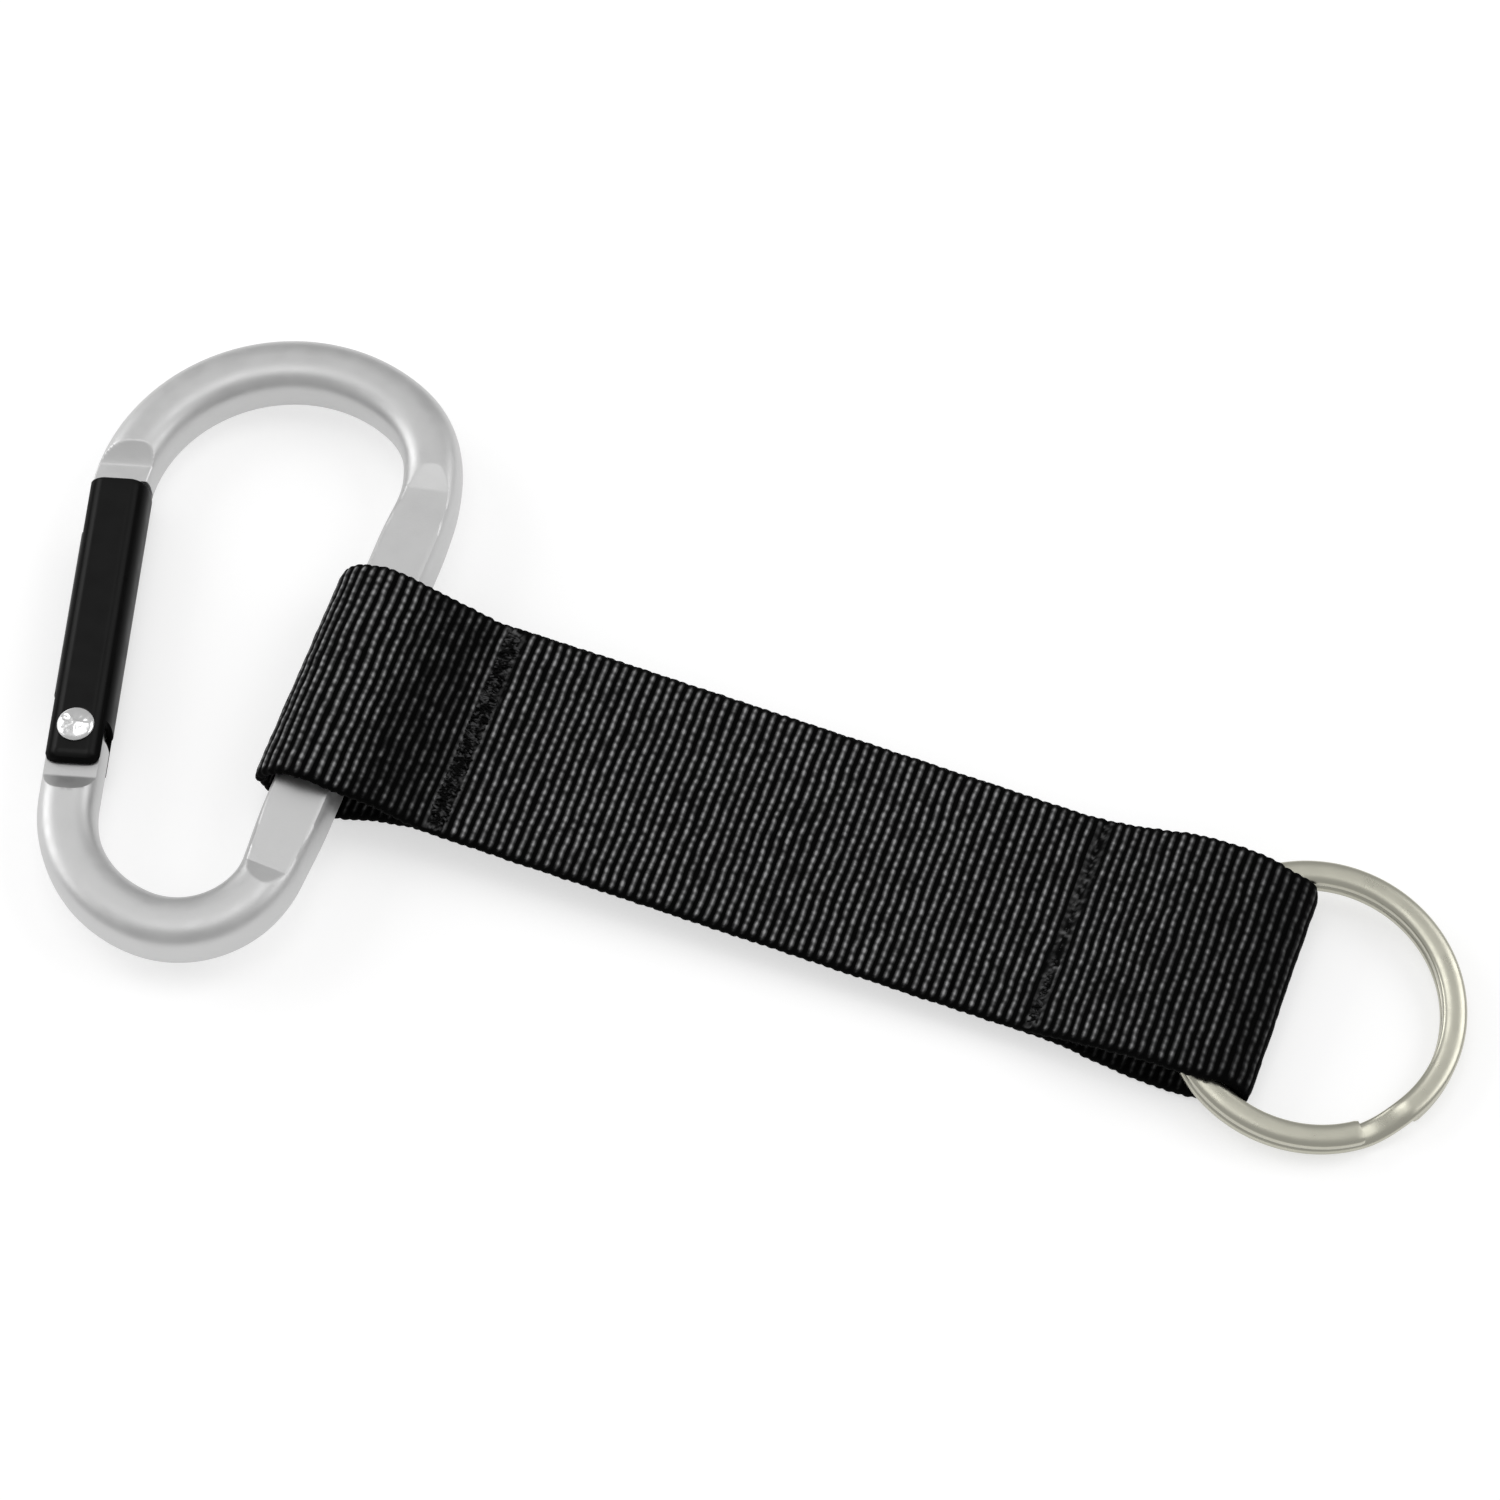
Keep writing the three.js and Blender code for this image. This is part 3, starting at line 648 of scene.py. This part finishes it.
def gate_sleeve():
    near = np.concatenate((GATE_EDGE * (1 - np.cos(np.linspace(0, math.pi / 2, 7))), [1.0, 1.4]))
    middle = np.linspace(GATE_TAIL + 1.6, GATE_TOP - 1.6, 60)
    stations = np.concatenate((GATE_TAIL + near, middle, (GATE_TOP - near)[::-1]))
    from_end = np.minimum(stations - GATE_TAIL, GATE_TOP - stations)
    rounding = corner_inset(from_end, GATE_EDGE)
    tail = corner_inset(stations - GATE_TAIL, 1.0)
    rings = []
    for station, inset, extra in zip(stations, rounding, tail):
        x, z = gate_section(max(inset, extra))
        rings.append(np.stack((x, np.full(len(x), station), z), -1))
    sleeve = swept("gate_sleeve", np.array(rings), GATE, GATE_BLACK)
    wall = GATE_HALF_WIDTH - GATE_WALL
    relief = GATE_HALF_WIDTH - CUT_BACK
    cut_out(sleeve, [
        block((-5, GATE_TAIL - 1, -SLOT_HALF), (wall, HINGE_SLOT_DEPTH, SLOT_HALF), GATE),
        block((-5, NOSE_SLOT_START, -SLOT_HALF), (wall, GATE_TOP + 1, SLOT_HALF), GATE),
        block((relief, GATE_TAIL - 1, -5), (5, HINGE_MOUTH, 5), GATE),
        block((0, GATE_TAIL - 1, -SLOT_HALF), (5, HINGE_MOUTH, SLOT_HALF), GATE),
        cylinder(BORE_RADIUS, "Y", HINGE_SLOT_DEPTH - 1, BORE_END, GATE),
        cylinder(RIVET_SHANK + PIN_GAP, "Z", -5, 5, GATE),
    ])
    crease(sleeve, 38)
    even_normals(sleeve)
    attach(sleeve, "gate")
    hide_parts("gate_tube")


def rivet():
    """A pressed rivet: a low dome at each end, with shallow dimples."""
    face = GATE_HALF_HEIGHT + 0.02
    angle = np.linspace(0, math.pi / 2, 12)
    dome = [(RIVET_HEAD * math.cos(a), face + 0.12 + (RIVET_RISE - 0.02) * math.sin(a)) for a in angle[:-1]]
    dome.append((0.12, face + 0.10 + RIVET_RISE))
    rim = [(RIVET_HEAD - 0.08, face), (RIVET_HEAD, face + 0.06)]
    upper = [(RIVET_SHANK, 0), (RIVET_SHANK, face), *rim, *dome]
    lower = [(radius, -station) for radius, station in reversed(upper[1:])]
    piece = turned("rivet", lower + upper, Matrix(), RIVET_STEEL, "Z", 64)
    for vertex in piece.data.vertices:
        x, y, z = vertex.co / MM
        if abs(z) > face + 0.1:
            centre = 1 - min(math.hypot(x, y) / RIVET_HEAD, 1)
            pattern = float(noise(x / DIMPLE_SIZE + 7, y / DIMPLE_SIZE + 3, 11))
            dent = pattern * DIMPLE_DEPTH * centre**0.5
            vertex.co.z += math.copysign(dent - 0.05 * centre, z) * MM
    piece.data.transform(GATE)
    crease(piece, 40)
    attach(piece, "gate")
    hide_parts("hinge_rivet")


def plunger():
    """A turned pin, bevelled at both ends."""
    radius, low, high, bevel = PLUNGER_RADIUS, PLUNGER_START, PLUNGER_END, PLUNGER_BEVEL
    rise = [(radius - bevel, low), (radius - 0.3 * bevel, low + 0.3 * bevel), (radius, low + bevel)]
    fall = [(radius, high - bevel), (radius - 0.3 * bevel, high - 0.3 * bevel), (radius - bevel, high)]
    profile = [(0.05, low), *rise, *fall, (0.05, high)]
    piece = crease(turned("plunger_pin", profile, GATE, SPRING_STEEL))
    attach(piece, "plunger")
    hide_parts("spring_plunger")


def tube_along(points, radius, sides):
    """A round tube along a line of points, with its sections kept from twisting."""
    tangents = np.gradient(points, axis=0)
    tangents /= np.linalg.norm(tangents, axis=1, keepdims=True)
    side = np.cross(tangents[0], (0.3, 0.5, 0.8))
    angle = np.linspace(0, 2 * np.pi, sides, endpoint=False)
    rings = []
    for point, tangent in zip(points, tangents):
        side = side - tangent * (side @ tangent)
        side /= np.linalg.norm(side)
        up = np.cross(tangent, side)
        rings.append(point + radius * (np.outer(np.cos(angle), side) + np.outer(np.sin(angle), up)))
    return np.array(rings)


def return_spring():
    """A compression coil whose end turns lie closed."""
    t = np.linspace(0, 1, SPRING_TURNS * 28)
    angle = 2 * math.pi * SPRING_TURNS * t
    closed = 0.07
    rise = t - closed / 2 * np.sin(2 * np.pi * t)
    station = SPRING_START + (SPRING_END - SPRING_START) * rise
    points = np.stack((SPRING_RADIUS * np.cos(angle), station, SPRING_RADIUS * np.sin(angle)), -1)
    spring = swept("return_spring", tube_along(points, SPRING_WIRE, 10), GATE, SPRING_STEEL)
    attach(spring, "gate")
    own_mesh(spring)
    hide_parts("gate_spring")


# ---- Webbing ----
def panel_z(x):
    """Mid-height of the two layers, which comes down towards the ring."""
    return PANEL_START + (PANEL_END - PANEL_START) * (x - SPINE_SEAM_X) / (RING_SEAM_X - SPINE_SEAM_X)


def softened(points, spacing=0.05, sigma=0.9):
    """A polyline resampled evenly and rounded at its corners; its two ends stay straight."""
    points = np.array(points, float)
    steps = np.concatenate(([0], np.cumsum(np.linalg.norm(np.diff(points, axis=0), axis=1))))
    even = np.arange(0, steps[-1], spacing)
    dense = np.stack([np.interp(even, steps, points[:, i]) for i in (0, 1)], -1)
    reach = int(3 * sigma / spacing)
    kernel = np.exp(-0.5 * (np.arange(-reach, reach + 1) * spacing / sigma) ** 2)
    kernel /= kernel.sum()
    before = 2 * dense[0] - dense[reach:0:-1]
    after = 2 * dense[-1] - dense[-2:-reach - 2:-1]
    padded = np.concatenate((before, dense, after))
    return np.stack([np.convolve(padded[:, i], kernel, "valid") for i in (0, 1)], -1)


def near_path():
    """From the lower layer at the join, round the spine, and back along the upper layer."""
    centre = np.array((0, swing.z / MM))
    seam_edge = SPINE_SEAM_X - 2.0
    upper = np.array((seam_edge, panel_z(seam_edge) + LAYER_OFFSET))
    lower = np.array((seam_edge, panel_z(seam_edge) - LAYER_OFFSET))
    angles = []
    for point, sign in ((upper, 1), (lower, -1)):
        toward = point - centre
        spread = math.acos(LOOP_MID_RADIUS / np.linalg.norm(toward))
        angles.append(math.atan2(toward[1], toward[0]) + sign * spread)
    start, end = angles[1] % (2 * math.pi), angles[0] % (2 * math.pi)
    arc = [centre + LOOP_MID_RADIUS * unit(a) for a in np.linspace(start, end, 60)]
    arc = [point - np.array((LOOP_SLACK * max(0, -point[0] / LOOP_MID_RADIUS), 0)) for point in arc]
    join = panel_z(JOIN_X)
    return softened([(JOIN_X, join - LAYER_OFFSET), lower, *arc, upper, (JOIN_X, join + LAYER_OFFSET)])


def far_path():
    """From the upper layer at the join, over the ring's wire, down the fold and back below."""
    upper, lower = panel_z(JOIN_X) + LAYER_OFFSET, panel_z(JOIN_X) - LAYER_OFFSET
    seam = panel_z(RING_SEAM_X)
    return softened([
        (JOIN_X, upper), (77.5, panel_z(77.5) + LAYER_OFFSET), (RING_SEAM_X, seam + 0.85),
        (85.0, 4.35), (89.3, 5.65), (92.5, 6.45), (96.0, 6.60), (101.0, 6.25), (103.2, 5.75), (104.5, 4.9),
        (104.9, 3.9), (104.9, 2.7), (104.3, 1.5), (102.8, 0.85), (95.0, 0.78), (90.0, 0.82),
        (RING_SEAM_X, seam - LAYER_OFFSET), (JOIN_X, lower),
    ])


RIB_STEPS = (0.0, 0.18, 0.33, 0.5, 0.67, 0.82)
RIB_SHAPE = (0.0, 0.42, 0.88, 1.0, 0.88, 0.42)
# The painted highlight across each rib, full on its crown and none in its grooves.
RIB_SHINE = (0.0, 0.0, 0.22, 1.0, 0.22, 0.0)


def section_columns():
    """Across the band and back: place in -1..1, and an angle of 0 outside, pi inside, between at edges."""
    face = np.linspace(-1, 1, WEB_COLUMNS)
    turn = np.linspace(0, math.pi, EDGE_COLUMNS + 2)[1:-1]
    back = np.linspace(1, -1, INNER_COLUMNS)
    place = np.concatenate((face, np.full(EDGE_COLUMNS, 1.0), back, np.full(EDGE_COLUMNS, -1.0)))
    angle = np.concatenate((np.zeros(WEB_COLUMNS), turn, np.full(INNER_COLUMNS, math.pi), turn[::-1]))
    return place, angle


def seam_share(x, y, centre, half, slope):
    """How much a row of sewing at this place presses the webbing, from 0 to 1."""
    offset = np.abs(x - centre - slope * y)
    return 1 - smoothstep(half * 0.75, half * 1.25, offset)


def painted_rib_shade(x, y, z, seed):
    """Painted shade on the ribs: they are dimmed, unevenly in dots, between the spine and its seam, where the
    band slopes away from the light, and dimmed towards the fold, where it turns away from the light.
    """
    near = smoothstep(3.0, 6.0, x) * (1 - smoothstep(11.5, 14.0, x)) * (z > 4)
    dots = smoothstep(-0.3, 0.5, noise(y / 0.8, x / 1.1, seed + 7))
    fold = 0.20 * smoothstep(70, 84, x) + 0.25 * smoothstep(86, 100, x) + 0.25 * smoothstep(99, 103, x)
    return 1 - near * (0.50 + 0.30 * (1 - dots)) - fold


def rib_steps(length):
    """For each step along a band: its rib's number, its place within the rib, its relief and shine."""
    ribs = int(round(length / RIB_PITCH))
    rib = np.concatenate((np.repeat(np.arange(ribs), len(RIB_STEPS)), [ribs]))
    tables = (RIB_STEPS, RIB_SHAPE, RIB_SHINE)
    step, shape, shine = (np.concatenate((np.tile(table, ribs), [0])) for table in tables)
    return length / ribs, rib, step, shape[:, None], shine[:, None]


def band_half_width(x, rib, shape, seed):
    """Half of the band's width at each step, notched between the ribs."""
    looped = 1 - smoothstep(2, 9, x)[:, None]
    folded = smoothstep(98, 103, x)[:, None]
    uneven = 0.05 * noise(rib[:, None] * 1.37, 0, seed + 5)
    return WEB_HALF_WIDTH + LOOP_WIDENING * looped - 0.12 * (1 - shape) - uneven - FOLD_NARROWING * folded


def band_lift(x, y, z, half):
    """Leans the strap and the ring's loop down on their near side, and bulges the loop's crest."""
    opened = smoothstep(84, 93, x)
    high = np.clip((z - 0.8) / 4, 0, 1)
    lift = y * (STRAP_ROLL * smoothstep(6, 25, x) * (1 - opened) + LOOP_ROLL * high * opened)
    crest = np.exp(-((x - CREST_X) / 3.5) ** 2) * (1 - (y / half) ** 2)
    return lift + CREST_BULGE * crest * (z > 4)


def turning(angle):
    """True where a section column lies on a selvedge."""
    return ((angle > 0) & (angle < math.pi))[None, :]


def band_rise(x, y, angle, half, shape, rib_grid, pressed, seed):
    """Height of the band's surface off its middle layer: ribs outside, flat inside, round edges."""
    beads = noise(y / 0.75, rib_grid * 1.7 + 0.5, seed + 2)
    inset = np.clip((half - np.abs(y)) / 1.1, 0, 1)
    rib_height = RIB_HEIGHT * shape * (1 - 0.75 * pressed) * (0.35 + 0.65 * inset) * (1 + 0.16 * beads)
    mess = pressed * 0.12 * noise(x / 0.55, y / 0.55, seed + 3)
    outer = RIB_BASE + rib_height + mess - 0.10 * pressed
    inner = INNER_FACE + 0.05 * (shape - 1)
    rise = np.where(angle[None, :] == 0, outer, 0) - np.where(angle[None, :] == math.pi, inner, 0)
    edge_rise = np.cos(angle)[None, :] * (0.5 + 0.05 * shape)
    return np.where(turning(angle), edge_rise, rise)


def painted_rib_light(x, y, z, half, shine, rib_grid, pressed, seed):
    """Painted highlight on the rib crowns: how brightly they are painted as catching the light, faded towards
    the selvedges, dimmed in the seams and by the painted shade on the ribs, with painted glints where the
    sewing has roughened them.
    """
    lit = shine * smoothstep(0.40, 0.85, half - np.abs(y)) * (1 - 0.88 * pressed) * painted_rib_shade(x, y, z, seed)
    lit = lit * (1 + 0.14 * noise(y / 2.7, rib_grid * 0.9, seed + 4))
    return lit + pressed * 0.30 * smoothstep(0.0, 0.7, noise(x / 0.33, y / 0.33, seed + 6))


def bead_turn(y, rib_grid, step, seed):
    """Angle of the sine that breaks each rib into beads."""
    drift = 1.4 * noise(y / 3.0, rib_grid * 0.9, seed + 8)
    return 2 * math.pi * y / BEAD_PITCH + 2.6 * rib_grid + 1.5 * step[:, None] + drift


def webbing(name, path, middle_y, seam, seed):
    """A ribbed band along a path in X-Z; middle_y gives its middle line's offset across the strap."""
    lengths = np.concatenate(([0], np.cumsum(np.linalg.norm(np.diff(path, axis=0), axis=1))))
    pitch, rib, step, shape, shine = rib_steps(lengths[-1])
    s = (rib + step) * pitch
    place, angle = section_columns()
    half = band_half_width(np.interp(s, lengths, path[:, 0]), rib, shape, seed)
    y = place[None, :] * (half - SELVEDGE) + SELVEDGE * np.sin(angle)[None, :] * np.sign(place)[None, :]
    rib_grid = rib[:, None] + np.zeros_like(y)
    wobble = 0.10 * noise(y / 5.0, rib_grid * 0.31, seed) + 0.07 * noise(y / 1.3, rib_grid * 0.83, seed + 1)
    ends = smoothstep(0, 3, s)[:, None] * (1 - smoothstep(lengths[-1] - 3, lengths[-1], s))[:, None]
    along = s[:, None] + wobble * ends * np.clip(step * 4, 0, 1)[:, None]
    x = np.interp(along, lengths, path[:, 0])
    z = np.interp(along, lengths, path[:, 1])
    tangent = np.gradient(path, axis=0)
    tangent /= np.linalg.norm(tangent, axis=1, keepdims=True)
    tx, tz = (np.interp(along, lengths, tangent[:, i]) for i in (0, 1))
    pressed = seam_share(x, y, *seam)
    rise = band_rise(x, y, angle, half, shape, rib_grid, pressed, seed)
    lift = band_lift(x, y, z, half)
    rings = np.stack((x - tz * rise, y + middle_y(x, z), z + lift + tx * rise), -1)
    lit = painted_rib_light(x, y, z, half, shine, rib_grid, pressed, seed)
    marks = {
        # crown carries the painted highlight on the ribs, and none on the selvedges.
        "crown": np.clip(np.where(turning(angle), 0.0, lit), 0, 1.4),
        "cloth": np.stack((along, y, np.zeros_like(y)), -1),
        "yarn": np.stack((rib_grid * 5.3, y, np.zeros_like(y)), -1),
        "turn": bead_turn(y, rib_grid, step, seed),
    }
    return swept(name, rings, STRAP, WEBBING, marks)


def near_middle(x, z):
    """The lower layer lies a little skew under the upper one."""
    upper = smoothstep(-0.6, 0.6, z - np.where(x > 6, panel_z(x), swing.z / MM))
    return (1 - upper) * LAYER_SKEW - 0.20 - 0.35 * (1 - smoothstep(2, 9, x))


def far_middle(x, z):
    """Both layers move towards the near side where the ring's loop opens, the lower one further."""
    upper = smoothstep(-0.6, 0.6, z - np.where(x < 90, panel_z(x), 3.6))
    opened = smoothstep(82, 98, x)
    skew = LAYER_SKEW * (1 - smoothstep(83, 95, x)) - 0.35 * opened
    return (1 - upper) * skew - 0.20 - 0.10 * opened


NEAR_PATH = near_path()
FAR_PATH = far_path()
SPINE_SEAM = (SPINE_SEAM_X - 0.15, 1.1, 0.01)  # middle, half width and slope across the strap
RING_SEAM = (RING_SEAM_X + 0.9, 0.70, 0.01)


def strap_pieces():
    near = webbing("webbing_near", NEAR_PATH, near_middle, SPINE_SEAM, seed=21)
    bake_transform(near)
    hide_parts("webbing_spine_loop", "webbing_far_panel")
    far = webbing("webbing_far", FAR_PATH, far_middle, RING_SEAM, seed=57)
    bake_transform(far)
    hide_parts("webbing_ring_loop")


# ---- Sewing ----
def stitch(start, end, crest, radius):
    """One thread on the surface: it rises out of the webbing and dives back in."""
    t = np.linspace(0, 1, 9)
    line = start + (end - start) * t[:, None]
    line[:, 2] += crest * (np.sin(math.pi * t) - 0.55)
    return tube_along(line, radius, 7)


def sewing(name, seam, rows, pitch, radius, side, body, node, seed):
    """Rows of crowded zigzag stitches across one face of the strap, laid one over another."""
    centre, half, slope = seam
    rng = np.random.default_rng(seed)
    tubes = []
    for _ in range(rows):
        y = -WEB_HALF_WIDTH + 1.0 + rng.uniform(0, pitch)
        left = True
        while y < WEB_HALF_WIDTH - 1.3:
            ends = []
            for station, way in ((y, -1 if left else 1), (y + pitch / 2, 1 if left else -1)):
                x = centre + slope * station + way * half * rng.uniform(0.2, 1.05)
                level = panel_z(x) + side * (LAYER_OFFSET + RIB_BASE + 0.12)
                ends.append(np.array((x, station - 0.3 + rng.uniform(-0.25, 0.25), level)))
            crest = side * rng.uniform(0.12, 0.30)
            tubes.append(stitch(ends[0], ends[1], crest, radius))
            y += pitch / 2 * rng.uniform(0.7, 1.3)
            left = not left
    thread = many_swept(name, tubes, STRAP, THREAD)
    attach(thread, body)
    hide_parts(node)


def seams():
    sewing("spine_stitches_front", SPINE_SEAM, 3, 1.1, 0.12, 1, "strap_near", "spine_seam_front", 3)
    sewing("spine_stitches_back", SPINE_SEAM, 3, 1.1, 0.12, -1, "strap_near", "spine_seam_back", 4)
    sewing("ring_stitches_front", RING_SEAM, 2, 1.0, 0.10, 1, "strap_far", "ring_seam_front", 5)
    sewing("ring_stitches_back", RING_SEAM, 2, 1.0, 0.10, -1, "strap_far", "ring_seam_back", 6)


# ---- Split ring ----
def split_ring():
    """Two turns of flattened wire with a crossing jog, cut square at both ends."""
    first, last = math.radians(JOG_END), math.radians(JOG_START + 720)
    angle = np.linspace(first, last, 420)
    lift = smoothstep(math.radians(JOG_START + 360), math.radians(JOG_END + 360), angle) - 0.5
    from_end = np.minimum(angle - first, last - angle) * RING_MID_RADIUS
    trim = np.where(from_end < 0.25, 0.93, 1.0)
    u, w = rounded_square(WIRE_HALF_WIDTH, WIRE_HALF_HEIGHT, 40)
    rings = []
    for a, rise, share in zip(angle, lift, trim):
        radius = RING_MID_RADIUS + u * share
        rings.append(np.stack((radius * math.cos(a), radius * math.sin(a), COIL_RISE * rise + w * share), -1))
    ring = crease(swept("split_ring_wire", np.array(rings), RING, NICKEL), 40)
    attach(ring, "ring")
    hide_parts("split_ring")


# ---- Stage, lights and camera ----
def floor():
    side = 3.0
    corners = [(-side, -side, 0), (side, -side, 0), (side, side, 0), (-side, side, 0)]
    mesh = bpy.data.meshes.new("floor")
    mesh.from_pydata(corners, [], [(0, 1, 2, 3)])
    shader = Shader("pale_floor", Roughness=0.9, Emission_Color=(1, 1, 1, 1), Emission_Strength=0.55)
    tone = shader.grain(3.0, 2.0)
    shader.drive("Base Color", shader.blend(tone, (0.55, 0.55, 0.55), (0.57, 0.57, 0.57)))
    mesh.materials.append(shader.material)
    plane = bpy.data.objects.new("floor", mesh)
    bpy.context.scene.collection.objects.link(plane)


def softbox(name, place, width, height, power, target=(0, 0, 0)):
    light = bpy.data.lights.new(name, "AREA")
    light.shape = "RECTANGLE"
    light.size, light.size_y = width, height
    light.energy = power
    lamp = bpy.data.objects.new(name, light)
    lamp.location = place
    direction = Vector(target) - Vector(place)
    lamp.rotation_mode = "QUATERNION"
    lamp.rotation_quaternion = direction.to_track_quat("-Z", "Y")
    bpy.context.scene.collection.objects.link(lamp)


def lighting():
    softbox("overhead", (-0.14, 0.16, 0.95), 0.50, 0.40, 1.15)
    softbox("right_side", (0.56, 0.40, 0.64), 0.60, 0.50, 1.9)
    softbox("left_side", (-0.82, 0.08, 0.42), 0.70, 0.50, 2.5)
    world = bpy.data.worlds.new("studio")
    world.use_nodes = True
    background = world.node_tree.nodes["Background"]
    background.inputs["Color"].default_value = (1, 1, 1, 1)
    background.inputs["Strength"].default_value = 0.52
    bpy.context.scene.world = world
    bpy.context.scene.view_settings.view_transform = "Standard"


CAMERA_AZIMUTH = 19.5
CAMERA_ELEVATION = 63.0
CAMERA_DISTANCE = 0.702
CAMERA_LENS = 156
CAMERA_SENSOR = 36
CAMERA_TARGET = Vector((swing.x + 0.042, swing.y + STRAP_BACK * MM, 0))


def camera():
    azimuth, elevation = math.radians(CAMERA_AZIMUTH), math.radians(CAMERA_ELEVATION)
    flat = math.cos(elevation)
    back = Vector((math.sin(azimuth) * flat, -math.cos(azimuth) * flat, math.sin(elevation)))
    data = bpy.data.cameras.new("camera")
    data.lens = CAMERA_LENS
    data.sensor_width = CAMERA_SENSOR
    data.clip_start = 0.01
    made = bpy.data.objects.new("camera", data)
    made.location = CAMERA_TARGET + back * CAMERA_DISTANCE
    made.rotation_mode = "QUATERNION"
    made.rotation_quaternion = (-back).to_track_quat("-Z", "Y")
    bpy.context.scene.collection.objects.link(made)
    bpy.context.scene.camera = made


camera()
lighting()
floor()
link_body()
gate_sleeve()
rivet()
plunger()
return_spring()
strap_pieces()
seams()
split_ring()
